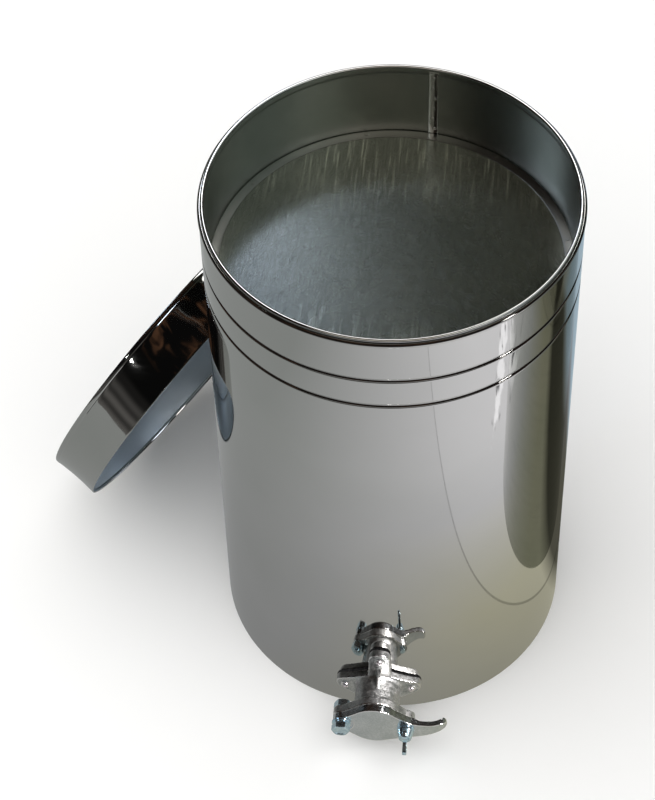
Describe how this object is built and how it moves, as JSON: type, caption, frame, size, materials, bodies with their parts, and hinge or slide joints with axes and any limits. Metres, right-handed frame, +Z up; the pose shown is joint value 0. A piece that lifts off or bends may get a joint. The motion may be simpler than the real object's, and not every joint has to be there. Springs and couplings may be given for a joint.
{
  "type": "honey settling tank",
  "caption": "Polished stainless settling tank with a strainer hung in its mouth, a cast flap honey gate near the floor and a loose lid leaning on it.",
  "frame": {"origin": "on the drum's axis, at the floor", "axes": "+Z up along the drum's axis; the honey gate points along -Y; +X to the right seen from the gate's side"},
  "size_m": [0.5671, 0.593, 0.6036],
  "materials": {
    "drum_steel": "bright polished stainless sheet",
    "wire_steel": "plain drawn wire",
    "strainer_steel": "dull stainless sheet",
    "woven_mesh": "fine woven stainless wire cloth",
    "lid_steel": "bright polished stainless sheet",
    "gasket_rubber": "matt black rubber",
    "cast_gate": "cast stainless with polished edges",
    "screw_steel": "bright stainless screws",
    "zinc_fastener": "bright blue zinc plate"
  },
  "bodies": {
    "tank": {"tank_shell": "drum_steel", "tank_rim_wire": "wire_steel", "tank_bottom": "drum_steel", "gate_gasket": "gasket_rubber", "gate_body": "cast_gate", "flange_screws": "screw_steel", "flange_washers": "screw_steel", "flange_nuts": "screw_steel", "pivot_bolt": "zinc_fastener", "pivot_spring_washer": "zinc_fastener", "pivot_flat_washer": "zinc_fastener", "pivot_nut": "zinc_fastener", "lock_stud": "zinc_fastener"},
    "strainer": {"strainer_hoop": "strainer_steel", "strainer_rim_wire": "wire_steel", "strainer_seat_ring": "strainer_steel", "strainer_mesh": "woven_mesh", "strainer_clamp_ring": "strainer_steel"},
    "lid": {"lid_skirt": "lid_steel", "lid_panel": "lid_steel"},
    "blade": {"gate_blade": "cast_gate"},
    "lock_washer": {"lock_washer": "zinc_fastener"},
    "wing_nut": {"wing_nut": "zinc_fastener"}
  },
  "joints": [
    {"name": "strainer_lift", "type": "slide", "parent": "tank", "child": "strainer", "axis": [0, 0, 1], "range_m": [0, 0.25]},
    {"name": "lid_slide", "type": "slide", "parent": "tank", "child": "lid", "axis": [-0.7959, 0.4521, 0.4027], "range_m": [0, 0.25]},
    {"name": "blade_swing", "type": "hinge", "parent": "tank", "child": "blade", "pos_m": [-0.0354, -0.238, 0.048], "axis": [0, -1, 0], "range_deg": [0, 90]},
    {"name": "washer_slide", "type": "slide", "parent": "tank", "child": "lock_washer", "axis": [0, -1, 0], "range_m": [0, 0.0038]},
    {"name": "wing_nut_spin", "type": "hinge", "parent": "lock_washer", "child": "wing_nut", "pos_m": [0.0332, -0.245, 0.047], "axis": [0, -1, 0], "range_deg": [0, 1080]}
  ],
  "couplings": [
    {"joint": "washer_slide", "follows": "wing_nut_spin", "m_per_rad": 0.00019894}
  ]
}
